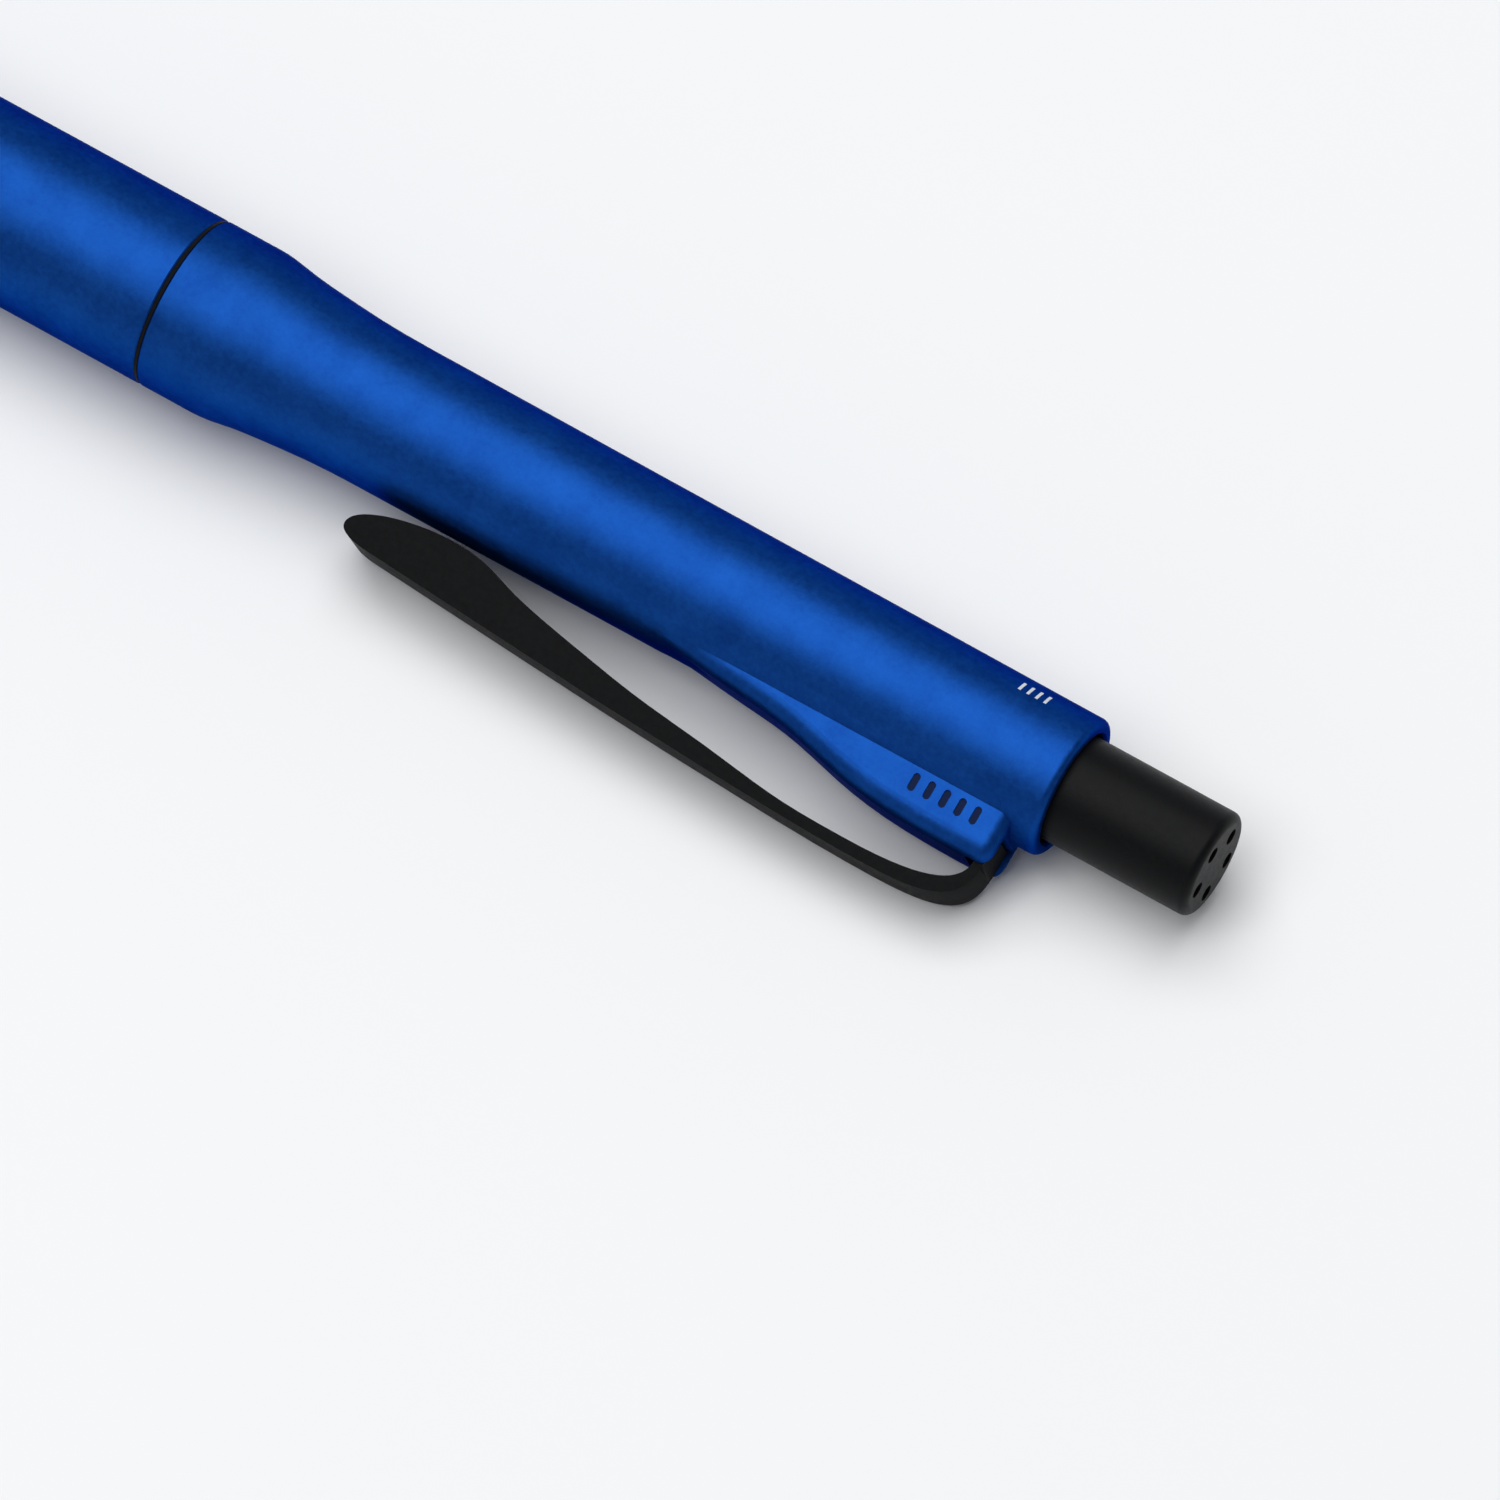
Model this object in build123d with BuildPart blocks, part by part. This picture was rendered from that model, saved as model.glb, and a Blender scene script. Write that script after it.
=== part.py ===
"""Click-action marker pen, lying on its side: two-part metal barrel, pocket clip, button and ink refill.

Millimetres. A station is a distance along the pen's axis from the mouth of the nose, a reach is a
distance from the axis towards the clip, and a turned profile is a loop of (radius, station) corners.
"""

import os
from math import cos, radians, sin

from build123d import *

# ---------------------------------------------------------------- driving dimensions
LENGTH = 142.0  # mouth of the nose to the end of the button
BARREL_R = 5.9  # widest part of the barrel, which it rests on
CLIP_DIP = 17.0  # degrees that the clip leans below the horizontal

NOSE_END = 14.0
NOSE_TIP_R = 3.0
NOSE_END_R = 5.0
SPIGOT_R = 4.2
SPIGOT_END = 20.0
FRONT_BORE_R = 3.6
GRIP_TAPER_END = 45.0
SEAM = 65.3
SEAM_GAP = 0.22

SOCKET_R = 5.05  # counterbore at the rear of the front barrel
SOCKET_START = 55.5
BUSH_END = 63.8
THREAD_R = 4.4
THREAD_CLEARANCE = 0.1
SLEEVE_R = 4.6
SLEEVE_END = 74.0
SLEEVE_BORE_R = 3.4

REAR_START = SEAM + SEAM_GAP
BELLY_END = 69.3
WAIST_END = 84.0
WAIST_R = 4.95
COLLAR_END = 131.6
COLLAR_R = 4.83
COLLAR_LIP = 0.8
COLLAR_LIP_R = 3.9
REAR_BORE_R = 4.2

FIN_START = 103.0
FIN_END = 129.85
FIN_HALF = 3.0
FIN_EDGE_R = 1.25

CLIP_HALF = 2.0
CLIP_REACH = 10.71  # furthest point of the clip from the axis

MOUTH_R = 1.75
NIB_R = 1.0
REFILL_R = 3.2
REFILL_BORE_R = 2.85

GUIDE_R = 3.78  # bore of the cam sleeve
RIB_R = 3.1
RIB_START = 106.0
RIB_END = 119.0
RIB_WIDTH = 36.0  # degrees
RIB_COUNT = 4
FIN_OUT_R = 3.7  # guide fins of rotor and plunger
CORE_R = 2.93
TOOTH_COUNT = 8
TOOTH_DEPTH = 0.9
TOOTH_MEET = 113.05  # station where the teeth of rotor and plunger face each other
TOOTH_PLAY = 0.05

BUTTON_R = 3.65
BUTTON_START = 128.3
BUTTON_WALL = 1.2

# ---------------------------------------------------------------- the pen's own planes
dip = radians(CLIP_DIP)
clip_side = CLIP_REACH * cos(dip) + CLIP_HALF * sin(dip)
pen = Plane(
    origin=(-LENGTH / 2, (clip_side - BARREL_R) / 2, BARREL_R),
    x_dir=(0, -cos(dip), -sin(dip)),
    z_dir=(1, 0, 0),
)
side = Plane(origin=pen.origin, x_dir=pen.x_dir, z_dir=-pen.y_dir)  # x is reach, y is station
pen_axis = Axis(pen.origin, pen.z_dir)


def loop(*corners):
    """Adds the polygon through the corners to the sketch, where they say."""
    Polygon(*corners, align=None)


def ring_sector(inner, outer, width):
    """A flat piece of ring, width degrees wide and centred on x, to be placed by polar locations."""
    with BuildSketch() as sector:
        with BuildLine():
            inside = CenterArc((0, 0), inner, -width / 2, width)
            outside = CenterArc((0, 0), outer, -width / 2, width)
            Line(inside @ 0, outside @ 0)
            Line(inside @ 1, outside @ 1)
        make_face()
    return sector.sketch


def write(piece, name):
    """Labels a finished piece and writes its file."""
    piece.part.label = name
    export_step(piece.part, f"parts/{name}.step")


os.makedirs("parts", exist_ok=True)

# ---------------------------------------------------------------- front: nose, seal, spring
SEAL_START = 0.7
SEAL_END = 2.1
SEAL_R = 2.3
CHAMBER_START = 5.0
CHAMBER_R = 2.95
CHAMBER_END = 11.5
WIDE_CHAMBER_R = 3.45

with BuildPart() as nose_cone:
    with BuildSketch(side):
        with BuildLine():
            Line((MOUTH_R, 0), (NOSE_TIP_R, 0))
            Spline(
                (NOSE_TIP_R, 0),
                (3.65, 4.5),
                (4.5, 9.8),
                (NOSE_END_R - 0.15, NOSE_END - 0.15),
                tangents=((0.3, 1), (0.12, 1)),
            )
            Polyline(
                (NOSE_END_R - 0.15, NOSE_END - 0.15),
                (NOSE_END_R - 0.3, NOSE_END),
                (SPIGOT_R, NOSE_END),
                (SPIGOT_R, SPIGOT_END),
                (WIDE_CHAMBER_R, SPIGOT_END),
                (WIDE_CHAMBER_R, CHAMBER_END),
                (CHAMBER_R, CHAMBER_END),
                (CHAMBER_R, CHAMBER_START),
                (SEAL_R, CHAMBER_START),
                (SEAL_R, SEAL_START),
                (MOUTH_R, SEAL_START),
                (MOUTH_R, 0),
            )
        make_face()
    revolve(axis=pen_axis)
    fillet(nose_cone.edges().group_by(Axis.X)[0].sort_by(SortBy.RADIUS)[-1], 0.5)
write(nose_cone, "nose_cone")

with BuildPart() as nib_seal:
    with BuildSketch(side):
        loop((MOUTH_R, SEAL_START), (SEAL_R, SEAL_START), (SEAL_R, SEAL_END), (MOUTH_R, SEAL_END))
    revolve(axis=pen_axis)
write(nib_seal, "nib_seal")

LIP_START = 1.0
LIP_DEPTH = 0.5
SLIT_HALF = 0.03


def seal_lip(turn):
    """One of the two half discs that meet at the seal's slit."""
    with BuildPart() as lip:
        with BuildSketch(pen.offset(LIP_START)):
            Circle(MOUTH_R)
            with Locations((0, turn * (SLIT_HALF - MOUTH_R))):
                Rectangle(3 * MOUTH_R, 2 * MOUTH_R, mode=Mode.SUBTRACT)
        extrude(amount=LIP_DEPTH)
    return lip


seal_lip_upper = seal_lip(-1)
write(seal_lip_upper, "seal_lip_upper")
seal_lip_lower = seal_lip(1)
write(seal_lip_lower, "seal_lip_lower")

SPRING_SEAT = 5.5

with BuildPart() as seal_retainer:
    with BuildSketch(side):
        loop(
            (MOUTH_R, SEAL_END),
            (SEAL_R, SEAL_END),
            (SEAL_R, CHAMBER_START),
            (CHAMBER_R - 0.05, CHAMBER_START),
            (CHAMBER_R - 0.05, SPRING_SEAT),
            (MOUTH_R, SPRING_SEAT),
        )
    revolve(axis=pen_axis)
write(seal_retainer, "seal_retainer")

HOLDER_FLANGE = 17.0
SPRING_R = 2.35
SPRING_WIRE_R = 0.19
SPRING_TURNS = 8.5
spring_run = HOLDER_FLANGE - SPRING_SEAT - 2 * SPRING_WIRE_R - 0.04

with BuildPart() as return_spring:
    spring_foot = pen.offset(SPRING_SEAT + SPRING_WIRE_R + 0.02).origin
    with BuildLine() as coil:
        Helix(spring_run / SPRING_TURNS, spring_run, SPRING_R, center=spring_foot, direction=(1, 0, 0))
    with BuildSketch(Plane(coil.line @ 0, z_dir=coil.line % 0)):
        Circle(SPRING_WIRE_R)
    sweep(path=coil.line, is_frenet=True)
write(return_spring, "return_spring")

# ---------------------------------------------------------------- front barrel and its bush
GROOVE_START = 19.0
GROOVE_PITCH = 1.5
GROOVE_COUNT = 14
GROOVE_HALF = 0.25
GROOVE_DEPTH = 0.16
SOFT_EDGE = 0.12


def grip_radius(station):
    """Outer radius of the grip, which swells evenly from the nose to the widest part."""
    along = (station - NOSE_END) / (GRIP_TAPER_END - NOSE_END)
    return NOSE_END_R + (BARREL_R - NOSE_END_R) * sin(radians(90 * along))


with BuildPart() as front_barrel:
    with BuildSketch(side):
        with BuildLine():
            Line((SPIGOT_R, NOSE_END), (NOSE_END_R - SOFT_EDGE, NOSE_END))
            Line((NOSE_END_R - SOFT_EDGE, NOSE_END), (NOSE_END_R, NOSE_END + SOFT_EDGE))
            Spline(
                (NOSE_END_R, NOSE_END + SOFT_EDGE),
                (grip_radius(22), 22),
                (grip_radius(33), 33),
                (BARREL_R, GRIP_TAPER_END),
                tangents=((0.05, 1), (0, 1)),
            )
            Polyline(
                (BARREL_R, GRIP_TAPER_END),
                (BARREL_R, SEAM - SOFT_EDGE),
                (BARREL_R - SOFT_EDGE, SEAM),
                (SOCKET_R, SEAM),
                (SOCKET_R, SOCKET_START),
                (FRONT_BORE_R, SOCKET_START),
                (FRONT_BORE_R, SPIGOT_END),
                (SPIGOT_R, SPIGOT_END),
                (SPIGOT_R, NOSE_END),
            )
        make_face()
    revolve(axis=pen_axis)
    with BuildSketch(side):
        for number in range(GROOVE_COUNT):
            middle = GROOVE_START + number * GROOVE_PITCH
            rim = grip_radius(middle)
            loop(
                (rim - GROOVE_DEPTH, middle - GROOVE_HALF / 2),
                (rim + GROOVE_DEPTH, middle - 1.5 * GROOVE_HALF),
                (rim + GROOVE_DEPTH, middle + 1.5 * GROOVE_HALF),
                (rim - GROOVE_DEPTH, middle + GROOVE_HALF / 2),
            )
    revolve(axis=pen_axis, mode=Mode.SUBTRACT)
write(front_barrel, "front_barrel")

with BuildPart() as thread_bush:
    with BuildSketch(side):
        bush_bore = THREAD_R + THREAD_CLEARANCE
        loop(
            (bush_bore, SOCKET_START),
            (SOCKET_R, SOCKET_START),
            (SOCKET_R, BUSH_END),
            (bush_bore + 0.25, BUSH_END),
            (bush_bore, BUSH_END - 0.25),
        )
    revolve(axis=pen_axis)
write(thread_bush, "thread_bush")

# ---------------------------------------------------------------- joint between the halves
MALE_START = 56.5
RING_START = 63.9
RING_GROOVE = 0.9
RING_FLOOR_R = 4.1
RING_WIRE_R = 0.44
THREAD_PITCH = 0.75
THREAD_DEPTH = 0.3
THREAD_COUNT = 8

with BuildPart() as joint_sleeve:
    with BuildSketch(side):
        loop(
            (SLEEVE_BORE_R, MALE_START),
            (THREAD_R - 0.3, MALE_START),
            (THREAD_R, MALE_START + 0.3),
            (THREAD_R, RING_START),
            (RING_FLOOR_R, RING_START),
            (RING_FLOOR_R, RING_START + RING_GROOVE),
            (SLEEVE_R, RING_START + RING_GROOVE),
            (SLEEVE_R, SLEEVE_END),
            (SLEEVE_BORE_R + 0.3, SLEEVE_END),
            (SLEEVE_BORE_R, SLEEVE_END - 0.3),
        )
    revolve(axis=pen_axis)
    with BuildSketch(side):
        for number in range(THREAD_COUNT):
            root = MALE_START + 0.8 + number * THREAD_PITCH
            loop((THREAD_R - THREAD_DEPTH, root), (THREAD_R + 0.1, root - 0.3), (THREAD_R + 0.1, root + 0.3))
    revolve(axis=pen_axis, mode=Mode.SUBTRACT)
write(joint_sleeve, "joint_sleeve")

with BuildPart() as barrel_o_ring:
    with BuildSketch(side):
        with Locations((RING_FLOOR_R + RING_WIRE_R, RING_START + RING_GROOVE / 2)):
            Circle(RING_WIRE_R)
    revolve(axis=pen_axis)
write(barrel_o_ring, "barrel_o_ring")

with BuildPart() as seam_ring:
    with BuildSketch(side):
        loop(
            (SLEEVE_R, SEAM + 0.02),
            (BARREL_R - 0.06, SEAM + 0.02),
            (BARREL_R - 0.06, REAR_START),
            (SLEEVE_R, REAR_START),
        )
    revolve(axis=pen_axis)
write(seam_ring, "seam_ring")

# ---------------------------------------------------------------- fin that holds the clip
FIN_BASE = 2.6
FIN_CREST = 7.28
FIN_CORNER_R = 0.9
SLOT_LOW = 5.1  # floor of the slot that takes the clip's root, just outside the barrel
SLOT_START = 128.2
POCKET_START = 126.0
POCKET_HIGH = 6.6
SLOT_HALF = CLIP_HALF + 0.1
MARK_COUNT = 5  # plain engraved bars on one side of the fin
MARK_PITCH = 1.13
MARK_MIDDLE = 125.45
MARK_REACH = 4.8
MARK_LENGTH = 1.25
MARK_WIDTH = 0.5
MARK_DEPTH = 0.15

with BuildPart() as fin:
    with BuildSketch(side):
        with BuildLine():
            crest = Spline(
                (4.4, FIN_START),
                (5.08, 109.5),
                (5.51, 113.45),
                (6.67, 118.65),
                (FIN_CREST, FIN_END - 3.5),
                (FIN_CREST, FIN_END),
                tangents=((0.08, 1), (0, 1)),
            )
            Polyline(crest @ 1, (FIN_BASE, FIN_END), (FIN_BASE, FIN_START), crest @ 0)
        make_face()
    extrude(amount=FIN_HALF, both=True)
    fillet(fin.edges().filter_by(GeomType.BSPLINE), FIN_EDGE_R)
    fillet(fin.edges().group_by(Axis.X)[-1].sort_by(Axis(pen.origin, pen.x_dir))[1:], FIN_CORNER_R)
    with BuildSketch(side):
        loop(
            (SLOT_LOW, POCKET_START),
            (POCKET_HIGH, POCKET_START),
            (POCKET_HIGH, SLOT_START),
            (FIN_CREST + 1, SLOT_START),
            (FIN_CREST + 1, FIN_END + 1),
            (SLOT_LOW, FIN_END + 1),
        )
    extrude(amount=SLOT_HALF, both=True, mode=Mode.SUBTRACT)
    with BuildSketch(side.offset(FIN_HALF)):
        with Locations((MARK_REACH, MARK_MIDDLE)):
            with GridLocations(1, MARK_PITCH, 1, MARK_COUNT):
                SlotOverall(MARK_LENGTH, MARK_WIDTH)
    extrude(amount=-MARK_DEPTH, mode=Mode.SUBTRACT)

# ---------------------------------------------------------------- rear barrel
COLLAR_EDGE_R = 0.5

with BuildPart() as rear_barrel:
    with BuildSketch(side):
        with BuildLine():
            Polyline((0, COLLAR_END), (0, REAR_START), (BARREL_R - SOFT_EDGE, REAR_START))
            Polyline(
                (BARREL_R - SOFT_EDGE, REAR_START),
                (BARREL_R, REAR_START + SOFT_EDGE),
                (BARREL_R, BELLY_END),
            )
            Spline(
                (BARREL_R, BELLY_END),
                (5.58, 71.9),
                (5.29, 74.5),
                (5.06, 77.4),
                (WAIST_R, WAIST_END),
                tangents=((0, 1), (0, 1)),
            )
            Polyline((WAIST_R, WAIST_END), (COLLAR_R, COLLAR_END), (0, COLLAR_END))
        make_face()
    revolve(axis=pen_axis)
    fillet(rear_barrel.edges().group_by(Axis.X)[-1], COLLAR_EDGE_R)
    add(fin.part)
    with BuildSketch(side):
        loop(
            (0, REAR_START),
            (SLEEVE_R, REAR_START),
            (SLEEVE_R, SLEEVE_END),
            (REAR_BORE_R, SLEEVE_END),
            (REAR_BORE_R, COLLAR_END - COLLAR_LIP),
            (COLLAR_LIP_R, COLLAR_END - COLLAR_LIP),
            (COLLAR_LIP_R, COLLAR_END - 0.15),
            (COLLAR_LIP_R + 0.15, COLLAR_END),
            (0, COLLAR_END),
        )
    revolve(axis=pen_axis, mode=Mode.SUBTRACT)
write(rear_barrel, "rear_barrel")

# ---------------------------------------------------------------- clip
CLIP_TIP = 82.4
LOBE_REACH = 5.35
LOBE_STATION = 89.0
ROOT_LOW = 5.3
ROOT_HIGH = 7.2  # where the root comes out of the slot
ROOT_FRONT = 128.85
ROOT_BACK = 129.5
TONGUE_START = 126.5
TONGUE_HIGH = 6.2

with BuildPart() as clip:
    with BuildSketch(side):
        with BuildLine():
            tip = Bezier((7.6, CLIP_TIP), (8.2, CLIP_TIP), (8.47, 83.4), (8.55, 84.6))
            back = Spline(
                tip @ 1,
                (9.25, 94.0),
                (9.9, 103.5),
                (10.43, 113.0),
                (CLIP_REACH, 122.5),
                tangents=((0.08, 1), (0, 1)),
            )
            bend = Bezier(back @ 1, (CLIP_REACH, 128.0), (9.9, ROOT_BACK), (ROOT_HIGH - 0.3, ROOT_BACK))
            root = Polyline(bend @ 1, (ROOT_HIGH - 0.3, ROOT_FRONT), (ROOT_HIGH, ROOT_FRONT))
            hollow = Bezier(root @ 1, (9.0, ROOT_FRONT), (9.89, 126.6), (9.89, 121.0))
            arm = Spline(
                hollow @ 1,
                (9.74, 115.8),
                (9.08, 110.5),
                (8.42, 104.8),
                (7.46, 99.2),
                (6.32, 94.0),
                (LOBE_REACH, LOBE_STATION),
                tangents=((0, -1), (0, -1)),
            )
            Bezier(arm @ 1, (LOBE_REACH, 86.6), (6.2, CLIP_TIP), tip @ 0)
        make_face()
    extrude(amount=CLIP_HALF, both=True)
    with BuildSketch(side):
        loop(
            (ROOT_LOW, TONGUE_START),
            (TONGUE_HIGH, TONGUE_START),
            (TONGUE_HIGH, ROOT_FRONT),
            (ROOT_HIGH, ROOT_FRONT),
            (ROOT_HIGH, ROOT_BACK),
            (ROOT_LOW, ROOT_BACK),
        )
    extrude(amount=CLIP_HALF, both=True)
write(clip, "clip")

# ---------------------------------------------------------------- click mechanism
SLEEVE_START = 98.0
STOP_END = 121.0
STOP_R = 3.05
RIB_SLOPE = 0.8

with BuildPart() as rib_saw:
    with BuildSketch(Plane.YZ):
        edge = GUIDE_R * sin(radians(RIB_WIDTH / 2)) + 0.1
        loop((-edge, RIB_START - 0.1), (edge, RIB_START - 0.1), (edge, RIB_START + RIB_SLOPE), (-edge, RIB_START))
    extrude(amount=GUIDE_R - 0.02)

with BuildPart(pen) as cam_sleeve:
    with BuildSketch(pen.offset(RIB_START)):
        with PolarLocations(0, RIB_COUNT):
            add(ring_sector(RIB_R, REAR_BORE_R - 0.1, RIB_WIDTH))
    extrude(amount=RIB_END - RIB_START)
    with PolarLocations(0, RIB_COUNT):
        add(rib_saw.part, mode=Mode.SUBTRACT)
    with BuildSketch(side):
        loop(
            (REAR_BORE_R, SLEEVE_START),
            (REAR_BORE_R, COLLAR_END - COLLAR_LIP),
            (GUIDE_R, COLLAR_END - COLLAR_LIP),
            (GUIDE_R, STOP_END),
            (STOP_R, STOP_END),
            (STOP_R, RIB_END),
            (GUIDE_R, RIB_END),
            (GUIDE_R, SLEEVE_START),
        )
    revolve(axis=pen_axis)
write(cam_sleeve, "cam_sleeve")

TOOTH_HOLE_R = 2.0
ROTOR_START = 98.5
ROTOR_FIN_START = 106.5
ROTOR_FIN_END = 111.7
ROTOR_FIN_WIDTH = 22.0
ROTOR_FIN_TURN = 31.0  # middle of the first fin at rest, just clear of the rib beside it
BOSS_R = 1.2
BOSS_CLEARANCE = 0.05
BOSS_END = 101.0
tooth_half = (CORE_R + 0.3) * sin(radians(180 / TOOTH_COUNT))
rotor_tip = TOOTH_MEET - TOOTH_PLAY
plunger_tip = TOOTH_MEET + TOOTH_PLAY


def tooth_gap(tip, depth):
    """A V-shaped wedge from the axis outwards: a gap between teeth whose tips stand at tip."""
    with BuildPart() as gap:
        with BuildSketch(Plane.YZ):
            loop((0, tip - depth), (-tooth_half, tip), (tooth_half, tip))
        extrude(amount=CORE_R + 0.3)
    return gap.part


with BuildPart(pen) as cam_rotor:
    with BuildSketch(side):
        loop(
            (BOSS_R + BOSS_CLEARANCE, ROTOR_START),
            (CORE_R - 0.2, ROTOR_START),
            (CORE_R, ROTOR_START + 0.2),
            (CORE_R, rotor_tip),
            (TOOTH_HOLE_R, rotor_tip),
            (TOOTH_HOLE_R, rotor_tip - 3),
            (0, rotor_tip - 3),
            (0, BOSS_END + 0.3),
            (BOSS_R + BOSS_CLEARANCE, BOSS_END + 0.3),
        )
    revolve(axis=pen_axis)
    with PolarLocations(0, TOOTH_COUNT, start_angle=11):
        add(tooth_gap(rotor_tip, TOOTH_DEPTH), mode=Mode.SUBTRACT)
    with BuildSketch(pen.offset(ROTOR_FIN_START)):
        with PolarLocations(0, RIB_COUNT, start_angle=ROTOR_FIN_TURN):
            add(ring_sector(CORE_R - 0.2, FIN_OUT_R, ROTOR_FIN_WIDTH))
    extrude(amount=ROTOR_FIN_END - ROTOR_FIN_START)
write(cam_rotor, "cam_rotor")

PLUNGER_FIN_START = 114.1
PLUNGER_FIN_END = 118.9
PLUNGER_FIN_WIDTH = 50.0
STEM_END = 138.0

with BuildPart(pen) as plunger:
    with BuildSketch(side):
        loop(
            (TOOTH_HOLE_R, plunger_tip),
            (CORE_R, plunger_tip),
            (CORE_R, STEM_END),
            (0, STEM_END),
            (0, STEM_END - 1.5),
            (TOOTH_HOLE_R, STEM_END - 1.5),
        )
    revolve(axis=pen_axis)
    with PolarLocations(0, TOOTH_COUNT, start_angle=22.5):
        add(tooth_gap(plunger_tip, -TOOTH_DEPTH), mode=Mode.SUBTRACT)
    with BuildSketch(pen.offset(PLUNGER_FIN_START)):
        with PolarLocations(0, RIB_COUNT, start_angle=45):
            add(ring_sector(CORE_R - 0.2, FIN_OUT_R, PLUNGER_FIN_WIDTH))
    extrude(amount=PLUNGER_FIN_END - PLUNGER_FIN_START)
write(plunger, "plunger")

BUTTON_EDGE_R = 0.6
VENT_R = 0.56
VENT_CIRCLE_R = 2.15
VENT_COUNT = 5
VENT_TURN = 45.6

with BuildPart(pen) as button_cap:
    with BuildSketch(side):
        loop(
            (CORE_R + 0.3, BUTTON_START),
            (BUTTON_R - 0.15, BUTTON_START),
            (BUTTON_R, BUTTON_START + 0.15),
            (BUTTON_R, LENGTH),
            (0, LENGTH),
            (0, LENGTH - BUTTON_WALL),
            (CORE_R, LENGTH - BUTTON_WALL),
            (CORE_R, BUTTON_START + 0.3),
        )
    revolve(axis=pen_axis)
    fillet(button_cap.edges().group_by(Axis.X)[-1], BUTTON_EDGE_R)
    with BuildSketch(pen.offset(LENGTH)):
        with PolarLocations(VENT_CIRCLE_R, VENT_COUNT, start_angle=VENT_TURN):
            Circle(VENT_R)
    extrude(amount=-BUTTON_WALL - 0.1, mode=Mode.SUBTRACT)
write(button_cap, "button_cap")

# ---------------------------------------------------------------- ink refill
NIB_TIP = 2.4
NIB_TAIL = 30.0
HOLDER_START = 5.0
HOLDER_R = 1.55
HOLDER_FLANGE_R = 2.8
TUBE_START = 19.0
TUBE_END = 97.0
INSERT_END = 25.0
FIBRE_START = 26.5
FIBRE_END = 92.0
FIBRE_R = 2.78

with BuildPart() as nib:
    with BuildSketch(side):
        with BuildLine():
            bullet = Spline((0, NIB_TIP), (0.62, NIB_TIP + 0.55), (NIB_R, NIB_TIP + 2.1), tangents=((1, 0), (0, 1)))
            Polyline(
                bullet @ 1,
                (NIB_R, NIB_TAIL - 1.5),
                (0.35, NIB_TAIL),
                (0, NIB_TAIL),
                bullet @ 0,
            )
        make_face()
    revolve(axis=pen_axis)
write(nib, "nib")

with BuildPart() as nib_holder:
    with BuildSketch(side):
        loop(
            (NIB_R, HOLDER_START),
            (HOLDER_R - 0.2, HOLDER_START),
            (HOLDER_R, HOLDER_START + 0.6),
            (HOLDER_R, HOLDER_FLANGE),
            (HOLDER_FLANGE_R, HOLDER_FLANGE),
            (HOLDER_FLANGE_R, TUBE_START),
            (REFILL_BORE_R, TUBE_START),
            (REFILL_BORE_R, INSERT_END),
            (NIB_R, INSERT_END),
        )
    revolve(axis=pen_axis)
write(nib_holder, "nib_holder")

with BuildPart() as ink_reservoir:
    with BuildSketch(side):
        loop(
            (NIB_R + 0.04, FIBRE_START),
            (FIBRE_R - 0.2, FIBRE_START),
            (FIBRE_R, FIBRE_START + 0.2),
            (FIBRE_R, FIBRE_END),
            (0, FIBRE_END),
            (0, NIB_TAIL + 0.1),
            (NIB_R + 0.04, NIB_TAIL + 0.1),
        )
    revolve(axis=pen_axis)
write(ink_reservoir, "ink_reservoir")

with BuildPart() as refill_tube:
    with BuildSketch(side):
        loop(
            (REFILL_BORE_R, TUBE_START),
            (REFILL_R - 0.15, TUBE_START),
            (REFILL_R, TUBE_START + 0.15),
            (REFILL_R, TUBE_END),
            (REFILL_BORE_R, TUBE_END),
        )
    revolve(axis=pen_axis)
write(refill_tube, "refill_tube")

PLUG_START = 94.0
PLUG_END = 98.4

with BuildPart() as reservoir_plug:
    with BuildSketch(side):
        loop(
            (0, PLUG_START),
            (REFILL_BORE_R - 0.15, PLUG_START),
            (REFILL_BORE_R, PLUG_START + 0.3),
            (REFILL_BORE_R, TUBE_END),
            (REFILL_R, TUBE_END),
            (REFILL_R, PLUG_END),
            (BOSS_R, PLUG_END),
            (BOSS_R, BOSS_END - 0.2),
            (BOSS_R - 0.2, BOSS_END),
            (0, BOSS_END),
        )
    revolve(axis=pen_axis)
write(reservoir_plug, "reservoir_plug")
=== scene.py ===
import math

import bmesh
import bpy
from mathutils import Matrix, Vector


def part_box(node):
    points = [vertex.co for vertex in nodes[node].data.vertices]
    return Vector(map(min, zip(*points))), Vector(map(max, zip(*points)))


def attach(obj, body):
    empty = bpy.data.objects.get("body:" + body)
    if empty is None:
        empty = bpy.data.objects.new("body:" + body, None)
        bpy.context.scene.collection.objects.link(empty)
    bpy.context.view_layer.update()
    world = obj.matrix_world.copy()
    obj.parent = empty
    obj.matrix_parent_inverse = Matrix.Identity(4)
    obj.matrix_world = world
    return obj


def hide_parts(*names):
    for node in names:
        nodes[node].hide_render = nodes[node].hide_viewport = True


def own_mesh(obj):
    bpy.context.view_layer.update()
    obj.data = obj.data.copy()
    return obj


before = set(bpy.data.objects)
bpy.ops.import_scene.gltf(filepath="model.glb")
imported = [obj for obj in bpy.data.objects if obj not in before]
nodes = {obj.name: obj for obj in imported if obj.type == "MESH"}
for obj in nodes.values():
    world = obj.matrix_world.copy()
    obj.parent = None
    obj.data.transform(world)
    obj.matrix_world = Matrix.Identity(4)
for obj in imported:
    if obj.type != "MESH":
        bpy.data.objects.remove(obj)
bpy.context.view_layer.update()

MM = 0.001
scene = bpy.context.scene
scene.view_settings.view_transform = "Standard"

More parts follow.
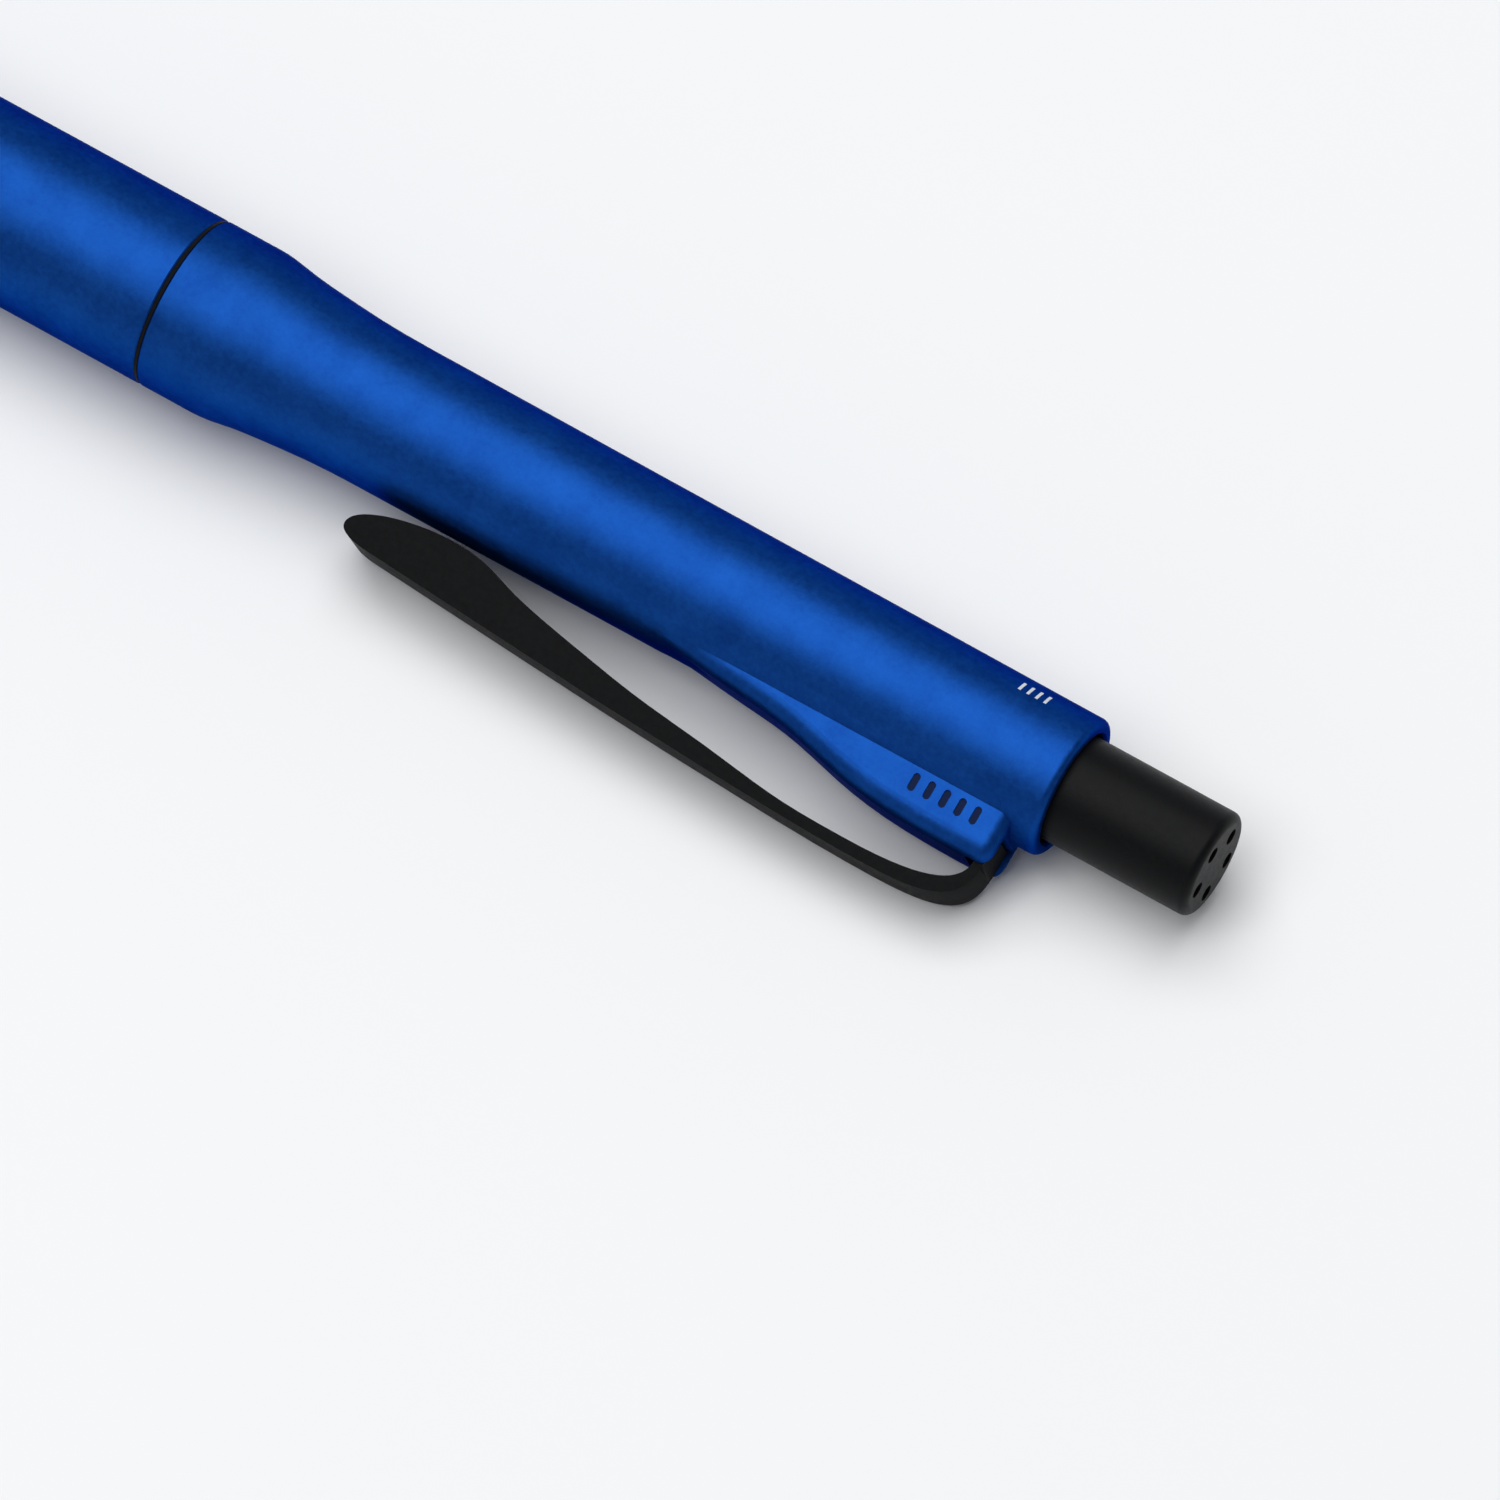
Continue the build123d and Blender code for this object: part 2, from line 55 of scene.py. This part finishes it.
# ---------------------------------------------------------------- the pen's own directions
CLIP_DIP = math.radians(17)
seam_low, seam_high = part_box("seam_ring")
axis_y = (seam_low.y + seam_high.y) / 2
axis_z = (seam_low.z + seam_high.z) / 2
nose_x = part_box("nose_cone")[0].x
along = Vector((1, 0, 0))
to_clip = Vector((0, -math.cos(CLIP_DIP), -math.sin(CLIP_DIP)))
to_top = to_clip.cross(along)  # square to the clip's plane, on the upper side


def at(station, reach=0.0, rise=0.0):
    """The point at a station along the axis, a reach towards the clip and a rise above its plane, in mm."""
    axis_point = Vector((nose_x + station * MM, axis_y, axis_z))
    return axis_point + to_clip * (reach * MM) + to_top * (rise * MM)


# ---------------------------------------------------------------- camera
VIEW_AZIMUTH = math.radians(31.8)
VIEW_ELEVATION = math.radians(62.4)
FRAME_WIDTH = 94.55 * MM  # what the picture's width spans at the pen
DISTANCE = 1.4
AIM_STATION = 112.0
AIM_BELOW = 7.6 * MM  # the pen lies this far above the middle of the picture
SENSOR = 36.0

right = Vector((math.cos(VIEW_AZIMUTH), math.sin(VIEW_AZIMUTH), 0))
back = Vector(
    (
        math.sin(VIEW_AZIMUTH) * math.cos(VIEW_ELEVATION),
        -math.cos(VIEW_AZIMUTH) * math.cos(VIEW_ELEVATION),
        math.sin(VIEW_ELEVATION),
    )
)
up = back.cross(right)
pen_in_view = Vector((along.dot(right), along.dot(up))).normalized()
aside = right * pen_in_view.y - up * pen_in_view.x
aim = at(AIM_STATION) + aside * AIM_BELOW

camera = bpy.data.objects.new("camera", bpy.data.cameras.new("camera"))
scene.collection.objects.link(camera)
camera.data.sensor_width = SENSOR
camera.data.lens = SENSOR * DISTANCE / FRAME_WIDTH
camera.data.clip_end = 10
camera.matrix_world = Matrix.Translation(aim + back * DISTANCE) @ Matrix((right, up, back)).transposed().to_4x4()
scene.camera = camera


# ---------------------------------------------------------------- material helpers
def new_material(name, colour, metallic=0.0, roughness=0.5, specular=0.5):
    """A Principled material; returns it with its shader and node tree."""
    material = bpy.data.materials.new(name)
    material.use_nodes = True
    tree = material.node_tree
    shader = tree.nodes["Principled BSDF"]
    shader.inputs["Base Color"].default_value = (*colour, 1)
    shader.inputs["Metallic"].default_value = metallic
    shader.inputs["Roughness"].default_value = roughness
    shader.inputs["Specular IOR Level"].default_value = specular
    return material, shader, tree


def noise(tree, scale, detail=2.0, roughness=0.5, stretch=(1, 1, 1)):
    """Object-space noise, scale in features per metre, stretched by the given factors."""
    place = tree.nodes.new("ShaderNodeTexCoord")
    mapping = tree.nodes.new("ShaderNodeMapping")
    mapping.inputs["Scale"].default_value = stretch
    texture = tree.nodes.new("ShaderNodeTexNoise")
    texture.inputs["Scale"].default_value = scale
    texture.inputs["Detail"].default_value = detail
    texture.inputs["Roughness"].default_value = roughness
    tree.links.new(place.outputs["Object"], mapping.inputs["Vector"])
    tree.links.new(mapping.outputs["Vector"], texture.inputs["Vector"])
    return texture.outputs["Fac"]


def ramp(tree, value, low, high, out_low, out_high):
    """Maps value from low..high to out_low..out_high, clamped."""
    node = tree.nodes.new("ShaderNodeMapRange")
    node.inputs["From Min"].default_value = low
    node.inputs["From Max"].default_value = high
    node.inputs["To Min"].default_value = out_low
    node.inputs["To Max"].default_value = out_high
    tree.links.new(value, node.inputs["Value"])
    return node.outputs["Result"]


def mix_colours(tree, factor, colour_a, colour_b):
    """A colour between two, by factor."""
    node = tree.nodes.new("ShaderNodeMix")
    node.data_type = "RGBA"
    node.inputs["A"].default_value = (*colour_a, 1)
    node.inputs["B"].default_value = (*colour_b, 1)
    tree.links.new(factor, node.inputs["Factor"])
    return node.outputs["Result"]


def bump(tree, shader, height, strength, distance):
    """Adds a bump from height to the shader, after any it has already."""
    node = tree.nodes.new("ShaderNodeBump")
    node.inputs["Strength"].default_value = strength
    node.inputs["Distance"].default_value = distance
    tree.links.new(height, node.inputs["Height"])
    if shader.inputs["Normal"].is_linked:
        tree.links.new(shader.inputs["Normal"].links[0].from_socket, node.inputs["Normal"])
    tree.links.new(node.outputs["Normal"], shader.inputs["Normal"])


# ---------------------------------------------------------------- materials
def blue_anodised():
    """Satin blue metal: a fine bead-blasted grain under the dye, barely lighter and darker in patches."""
    material, shader, tree = new_material("blue_anodised", (0.0045, 0.040, 0.215), 1.0, 0.5)
    shader.inputs["Specular Tint"].default_value = (0.14, 0.19, 0.38, 1)
    cloud = noise(tree, 420, 2.0, 0.5)
    flake = noise(tree, 2600, 3.0, 0.65)
    add = tree.nodes.new("ShaderNodeMath")
    add.operation = "MULTIPLY_ADD"
    tree.links.new(flake, add.inputs[0])
    add.inputs[1].default_value = 1.6
    tree.links.new(cloud, add.inputs[2])
    factor = ramp(tree, add.outputs[0], 0.95, 1.65, 0.0, 1.0)
    colour = mix_colours(tree, factor, (0.0054, 0.049, 0.250), (0.0082, 0.071, 0.330))
    tree.links.new(colour, shader.inputs["Base Color"])
    tree.links.new(ramp(tree, flake, 0.3, 0.7, 0.46, 0.53), shader.inputs["Roughness"])
    bump(tree, shader, noise(tree, 7500, 2.0, 0.6), 0.35, 0.00002)
    return material


def black_satin(name, colour, roughness, specular, grain):
    """Satin black coat or moulding with a fine grain."""
    material, shader, tree = new_material(name, colour, 0.0, roughness, specular)
    tone = noise(tree, 2600, 3.0, 0.6)
    lighter = tuple(1.35 * c for c in colour)
    tree.links.new(mix_colours(tree, ramp(tree, tone, 0.3, 0.7, 0, 1), colour, lighter), shader.inputs["Base Color"])
    spread = ramp(tree, tone, 0.3, 0.7, roughness - 0.04, roughness + 0.05)
    tree.links.new(spread, shader.inputs["Roughness"])
    bump(tree, shader, noise(tree, 11000, 2.0, 0.6), grain, 0.00002)
    return material


def moulded(name, colour, roughness=0.45, specular=0.4):
    """Plain moulded plastic or rubber with slight flow marks along the pen."""
    material, shader, tree = new_material(name, colour, 0.0, roughness, specular)
    flow = noise(tree, 1800, 3.0, 0.5, (0.15, 1, 1))
    darker = tuple(0.92 * c for c in colour)
    tree.links.new(mix_colours(tree, ramp(tree, flow, 0.3, 0.7, 0, 1), colour, darker), shader.inputs["Base Color"])
    tree.links.new(ramp(tree, flow, 0.3, 0.7, roughness - 0.05, roughness + 0.08), shader.inputs["Roughness"])
    bump(tree, shader, noise(tree, 7000, 2.0, 0.5), 0.15, 0.00002)
    return material


def turned_metal(name, colour, roughness):
    """Bare metal with fine marks round it, as a lathe or a drawing die leaves."""
    material, shader, tree = new_material(name, colour, 1.0, roughness)
    marks = noise(tree, 9000, 3.0, 0.6, (1, 0.08, 0.08))
    tree.links.new(ramp(tree, marks, 0.3, 0.7, roughness - 0.08, roughness + 0.12), shader.inputs["Roughness"])
    darker = tuple(0.75 * c for c in colour)
    tree.links.new(mix_colours(tree, ramp(tree, marks, 0.35, 0.65, 0, 1), colour, darker), shader.inputs["Base Color"])
    bump(tree, shader, marks, 0.3, 0.00002)
    return material


def soaked_fibre(name, light, dark):
    """Bonded fibres that run along the pen, soaked with amber-brown ink."""
    material, shader, tree = new_material(name, light, 0.0, 0.75, 0.2)
    strands = noise(tree, 6500, 3.0, 0.7, (0.06, 1, 1))
    tree.links.new(mix_colours(tree, ramp(tree, strands, 0.35, 0.65, 0, 1), dark, light), shader.inputs["Base Color"])
    bump(tree, shader, strands, 0.7, 0.00005)
    return material


blue = blue_anodised()
clip_black = black_satin("clip_black", (0.0076, 0.0080, 0.0083), 0.42, 0.01, 0.2)
button_black = black_satin("button_black", (0.0030, 0.0033, 0.0037), 0.45, 0.09, 0.35)
nose_black = black_satin("nose_black", (0.012, 0.012, 0.0135), 0.4, 0.3, 0.25)
seam_black = moulded("seam_black", (0.004, 0.004, 0.0045), 0.7, 0.1)
white_plastic = moulded("mechanism_white", (0.74, 0.74, 0.71))
rotor_plastic = moulded("rotor_plastic", (0.27, 0.33, 0.40))
refill_white = moulded("refill_white", (0.80, 0.79, 0.74), 0.38)
dark_plastic = moulded("dark_plastic", (0.03, 0.03, 0.033))
silicone = moulded("silicone", (0.40, 0.39, 0.37), 0.55, 0.3)
ring_rubber = moulded("ring_rubber", (0.012, 0.012, 0.012), 0.6, 0.3)
brass = turned_metal("brass", (0.72, 0.50, 0.20), 0.3)
spring_steel = turned_metal("spring_steel", (0.62, 0.62, 0.60), 0.25)
white_print = moulded("white_print", (0.62, 0.66, 0.72), 0.6, 0.2)
# painted shade: the dark navy of the sheets laid in the fin's engraved bars
mark_painted_shade = black_satin("mark_painted_shade", (0.0017, 0.0085, 0.042), 0.6, 0.1, 0.2)
ink_fibre = soaked_fibre("ink_fibre", (0.33, 0.15, 0.045), (0.14, 0.055, 0.015))
nib_fibre = soaked_fibre("nib_fibre", (0.42, 0.22, 0.08), (0.24, 0.11, 0.03))

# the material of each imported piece
finishes = {
    "rear_barrel": blue,
    "front_barrel": blue,
    "joint_sleeve": brass,
    "barrel_o_ring": ring_rubber,
    "seam_ring": seam_black,
    "cam_sleeve": white_plastic,
    "thread_bush": dark_plastic,
    "nose_cone": nose_black,
    "nib_seal": silicone,
    "seal_lip_upper": silicone,
    "seal_lip_lower": silicone,
    "seal_retainer": dark_plastic,
    "return_spring": spring_steel,
    "refill_tube": refill_white,
    "reservoir_plug": dark_plastic,
    "ink_reservoir": ink_fibre,
    "nib_holder": refill_white,
    "nib": nib_fibre,
    "cam_rotor": rotor_plastic,
    "button_cap": button_black,
    "plunger": white_plastic,
    "clip": clip_black,
}
for node_name, finish in finishes.items():
    mesh = nodes[node_name].data
    mesh.materials.clear()
    mesh.materials.append(finish)


# ---------------------------------------------------------------- pieces made here
def mesh_piece(name, points, faces, material, body):
    """A smooth-shaded mesh object in the row frame that rides on a body."""
    mesh = bpy.data.meshes.new(name)
    mesh.from_pydata([tuple(p) for p in points], [], faces)
    mesh.materials.append(material)
    mesh.shade_smooth()
    mesh.set_sharp_from_angle(angle=math.radians(40))
    piece = bpy.data.objects.new(name, mesh)
    scene.collection.objects.link(piece)
    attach(piece, body)
    return piece


def rounded_clip():
    """The clip with its flanks' edges rounded, as a stamped and coated strip has them."""
    EDGE_R = 0.22 * MM
    EDGE_STEPS = 4
    WELD = 0.001 * MM
    FLAT_ANGLE = math.radians(0.5)  # faces that turn less than this are one face
    CORNER_ANGLE = math.radians(60)
    SHARP_ANGLE = math.radians(35)
    FLANK_SQUARE = 0.99
    ROOT_REACH = 7.4
    ROUNDED_FROM = 4.8  # edges nearer the axis than this stay square
    SLOT_START = 127.5  # from here on, edges nearer the axis than the root's reach lie in the fin's slot
    form = bmesh.new()
    form.from_mesh(nodes["clip"].data)
    bmesh.ops.remove_doubles(form, verts=form.verts, dist=WELD)
    bmesh.ops.dissolve_limit(form, angle_limit=FLAT_ANGLE, verts=form.verts, edges=form.edges)
    root = at(0, ROOT_REACH)
    rim = []
    for edge in form.edges:
        past_root = min((v.co - root).dot(to_clip) for v in edge.verts)
        if len(edge.link_faces) != 2 or edge.calc_face_angle() <= CORNER_ANGLE:
            continue
        flank = [f for f in edge.link_faces if abs(f.normal.dot(to_top)) > FLANK_SQUARE]
        in_slot = min(v.co.x for v in edge.verts) > at(SLOT_START).x and past_root < 0
        if len(flank) == 1 and past_root > (ROUNDED_FROM - ROOT_REACH) * MM and not in_slot:
            rim.append(edge)
    bmesh.ops.bevel(
        form, geom=rim, offset=EDGE_R, segments=EDGE_STEPS, profile=0.5, affect="EDGES", clamp_overlap=True
    )
    mesh = bpy.data.meshes.new("clip_strip")
    form.to_mesh(mesh)
    form.free()
    mesh.materials.append(clip_black)
    mesh.shade_smooth()
    mesh.set_sharp_from_angle(angle=SHARP_ANGLE)
    piece = bpy.data.objects.new("clip_strip", mesh)
    scene.collection.objects.link(piece)
    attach(piece, "clip")
    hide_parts("clip")


def coil_spring():
    """The return spring with its end coils closed, built at one fixed length."""
    WIRE_R = 0.19
    COIL_R = 2.35
    SEAT = 5.5
    FLANGE = 17.0
    CLOSED_TURNS = 1.25  # at each end, coil beside coil
    OPEN_TURNS = 7.0
    STEPS = 28  # per turn
    SIDES = 10
    start = SEAT + WIRE_R + 0.02
    closed_rise = CLOSED_TURNS * 2 * WIRE_R * 1.03
    open_rise = FLANGE - SEAT - 2 * (WIRE_R + 0.02) - 2 * closed_rise
    turns = 2 * CLOSED_TURNS + OPEN_TURNS

    def rise(turn):
        if turn < CLOSED_TURNS:
            return closed_rise * turn / CLOSED_TURNS
        if turn > CLOSED_TURNS + OPEN_TURNS:
            return closed_rise * (turn - OPEN_TURNS) / CLOSED_TURNS + open_rise
        return closed_rise + open_rise * (turn - CLOSED_TURNS) / OPEN_TURNS

    count = round(turns * STEPS)
    centres = []
    for step in range(count + 1):
        turn = turns * step / count
        angle = 2 * math.pi * turn
        centres.append(at(start + rise(turn), COIL_R * math.cos(angle), COIL_R * math.sin(angle)))
    points = []
    for step, centre in enumerate(centres):
        tangent = (centres[min(step + 1, count)] - centres[max(step - 1, 0)]).normalized()
        spoke = centre - Vector((centre.x, axis_y, axis_z))
        outward = (spoke - tangent * spoke.dot(tangent)).normalized()
        across = tangent.cross(outward)
        for side in range(SIDES):
            angle = 2 * math.pi * side / SIDES
            points.append(centre + (outward * math.cos(angle) + across * math.sin(angle)) * (WIRE_R * MM))
    faces = [tuple(range(SIDES))[::-1], tuple(count * SIDES + side for side in range(SIDES))]
    for step in range(count):
        for side in range(SIDES):
            low = step * SIDES
            high = low + SIDES
            after = (side + 1) % SIDES
            faces.append((low + side, low + after, high + after, high + side))
    piece = mesh_piece("coil_spring", points, faces, spring_steel, "front")
    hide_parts("return_spring")
    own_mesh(piece)


def soft_lip(name, node, way):
    """Half of the slit seal: a thin crowned half disc, built in its closed shape."""
    DISC_R = 1.75
    MIDDLE = 1.25  # station of the disc's mid plane
    RIM_HALF = 0.25
    SLIT_HALF_THICK = 0.1
    SLIT_GAP = 0.03
    RINGS = 10
    SPOKES = 24
    points = []
    for face in (-1, 1):
        for row in range(RINGS + 1):
            depth = row / RINGS
            for column in range(SPOKES + 1):
                half_width = math.sqrt(DISC_R**2 - SLIT_GAP**2)
                reach = -half_width * math.cos(math.pi * column / SPOKES)
                wall = math.sqrt(max(DISC_R**2 - reach**2, SLIT_GAP**2))
                rise = SLIT_GAP + (wall - SLIT_GAP) * depth
                far = math.hypot(reach, rise) / DISC_R
                half = SLIT_HALF_THICK + (RIM_HALF - SLIT_HALF_THICK) * far**2
                points.append(at(MIDDLE + face * half, reach, way * rise))
    row_length = SPOKES + 1
    sheet_length = row_length * (RINGS + 1)
    faces = []
    for row in range(RINGS):
        for column in range(SPOKES):
            corner = row * row_length + column
            quad = (corner, corner + 1, corner + row_length + 1, corner + row_length)
            faces.append(quad)
            faces.append(tuple(sheet_length + index for index in reversed(quad)))
    for column in range(SPOKES):
        for edge_row in (0, RINGS):
            a = edge_row * row_length + column
            faces.append((a, a + 1, sheet_length + a + 1, sheet_length + a))
    piece = mesh_piece(name, points, faces, silicone, "front")
    form = bmesh.new()
    form.from_mesh(piece.data)
    bmesh.ops.remove_doubles(form, verts=form.verts, dist=0.0005 * MM)
    bmesh.ops.recalc_face_normals(form, faces=form.faces)
    form.to_mesh(piece.data)
    form.free()
    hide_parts(node)
    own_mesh(piece)


def print_dashes():
    """A short row of plain white dashes printed along the far side of the barrel's rear end."""
    FIRST = 126.0
    PITCH = 0.62
    COUNT = 4
    WIDTH = 0.2
    LOW_ANGLE = 46  # degrees round the barrel, from its top away from the clip
    HIGH_ANGLE = 58
    INK = 0.012
    STEPS = 6
    WAIST_STATION, WAIST_RADIUS = 84.0, 4.95
    COLLAR_STATION, COLLAR_RADIUS = 131.6, 4.83
    slope = (COLLAR_RADIUS - WAIST_RADIUS) / (COLLAR_STATION - WAIST_STATION)
    for number in range(COUNT):
        points = []
        for lift in (-INK, INK):
            for edge in (0, WIDTH):
                station = FIRST + number * PITCH + edge
                radius = WAIST_RADIUS + slope * (station - WAIST_STATION) + lift
                for step in range(STEPS + 1):
                    angle = math.radians(LOW_ANGLE + (HIGH_ANGLE - LOW_ANGLE) * step / STEPS)
                    points.append(at(station, -radius * math.sin(angle), radius * math.cos(angle)))
        row = STEPS + 1
        faces = [(0, row, 3 * row, 2 * row), (STEPS, 2 * row + STEPS, 3 * row + STEPS, row + STEPS)]
        for step in range(STEPS):
            faces.append((step, step + 1, row + step + 1, row + step))
            faces.append((2 * row + step, 3 * row + step, 3 * row + step + 1, 2 * row + step + 1))
            faces.append((step, 2 * row + step, 2 * row + step + 1, step + 1))
            faces.append((row + step, row + step + 1, 3 * row + step + 1, 3 * row + step))
        mesh_piece(f"print_dash_{number + 1}", points, faces, white_print, "rear")


def painted_shade_in_marks():
    """Dark sheets on the floors of the five plain bars engraved in the fin, as painted shade in these recesses."""
    COUNT = 5
    PITCH = 1.13
    MIDDLE = 125.45
    REACH = 4.8
    LENGTH = 1.19
    WIDTH = 0.44
    FLOOR = 2.85  # the fin's flat stands at 3, the bars are 0.15 deep
    # how thick each sheet of painted shade stands above the bar's floor
    SHADE_SHEET = 0.02
    STEPS = 10
    for number in range(COUNT):
        station = MIDDLE + (number - (COUNT - 1) / 2) * PITCH
        outline = []
        for end in (1, -1):
            for step in range(STEPS + 1):
                angle = math.pi * step / STEPS
                round_reach = end * (LENGTH - WIDTH + WIDTH * math.sin(angle)) / 2
                outline.append((station + end * WIDTH / 2 * math.cos(angle), REACH + round_reach))
        points = [at(z, c, FLOOR - 0.01) for z, c in outline] + [at(z, c, FLOOR + SHADE_SHEET) for z, c in outline]
        size = len(outline)
        faces = [tuple(range(size)), tuple(range(2 * size - 1, size - 1, -1))]
        for index in range(size):
            after = (index + 1) % size
            faces.append((index, size + index, size + after, after))
        # each sheet is painted shade lying in its bar
        mesh_piece(f"mark_floor_{number + 1}", points, faces, mark_painted_shade, "rear")


rounded_clip()
coil_spring()
soft_lip("seal_fold_upper", "seal_lip_upper", 1)
soft_lip("seal_fold_lower", "seal_lip_lower", -1)
print_dashes()
painted_shade_in_marks()

# ---------------------------------------------------------------- floor, world and lights
BELLY_END = 69.3
FLOOR_RISE = math.radians(0.6)  # the tail hangs a little lower than level, short of touching, so the clip can flex
FLOOR_DROP = 0.02 * MM
FLOOR_HALF = 2.0
floor_mesh = bpy.data.meshes.new("floor")
floor_corners = []
for x, y in ((-1, -1), (1, -1), (1, 1), (-1, 1)):
    rise = math.tan(FLOOR_RISE) * (x * FLOOR_HALF - at(BELLY_END).x)
    floor_corners.append((x * FLOOR_HALF, y * FLOOR_HALF, rise - FLOOR_DROP))
floor_mesh.from_pydata(floor_corners, [], [(0, 1, 2, 3)])
floor = bpy.data.objects.new("floor", floor_mesh)
scene.collection.objects.link(floor)
floor_material, floor_shader, floor_tree = new_material("floor_paper", (0.91, 0.92, 0.927), 0.0, 0.9, 0.1)
floor_mesh.materials.append(floor_material)

world = bpy.data.worlds.new("studio")
scene.world = world
world.use_nodes = True
world_tree = world.node_tree
world_tree.nodes["Background"].inputs["Color"].default_value = (0.95, 0.97, 1.0, 1)
direction_in = world_tree.nodes.new("ShaderNodeTexCoord")
split = world_tree.nodes.new("ShaderNodeSeparateXYZ")
world_tree.links.new(direction_in.outputs["Generated"], split.inputs["Vector"])
HORIZON_Z, ZENITH_Z = 0.05, 0.75
HORIZON_STRENGTH, ZENITH_STRENGTH = 0.58, 0.12
walls = ramp(world_tree, split.outputs["Z"], HORIZON_Z, ZENITH_Z, HORIZON_STRENGTH, ZENITH_STRENGTH)
world_tree.links.new(walls, world_tree.nodes["Background"].inputs["Strength"])


def softbox(name, size, distance, lean_x, lean_y, radiance):
    """A square softbox that looks at the pen from a distance overhead, leaned by degrees along x and y."""
    light = bpy.data.lights.new(name, "AREA")
    light.shape = "SQUARE"
    light.size = size
    light.energy = radiance * math.pi * size * size
    lamp = bpy.data.objects.new(name, light)
    scene.collection.objects.link(lamp)
    direction = Vector((math.tan(math.radians(lean_x)), math.tan(math.radians(lean_y)), 1)).normalized()
    lamp.location = aim + direction * distance
    lamp.rotation_euler = direction.to_track_quat("Z", "Y").to_euler()


softbox("overhead", 1.05, 1.1, -8, 12, 2.7)
softbox("key", 0.55, 1.0, -12, -25, 2.9)
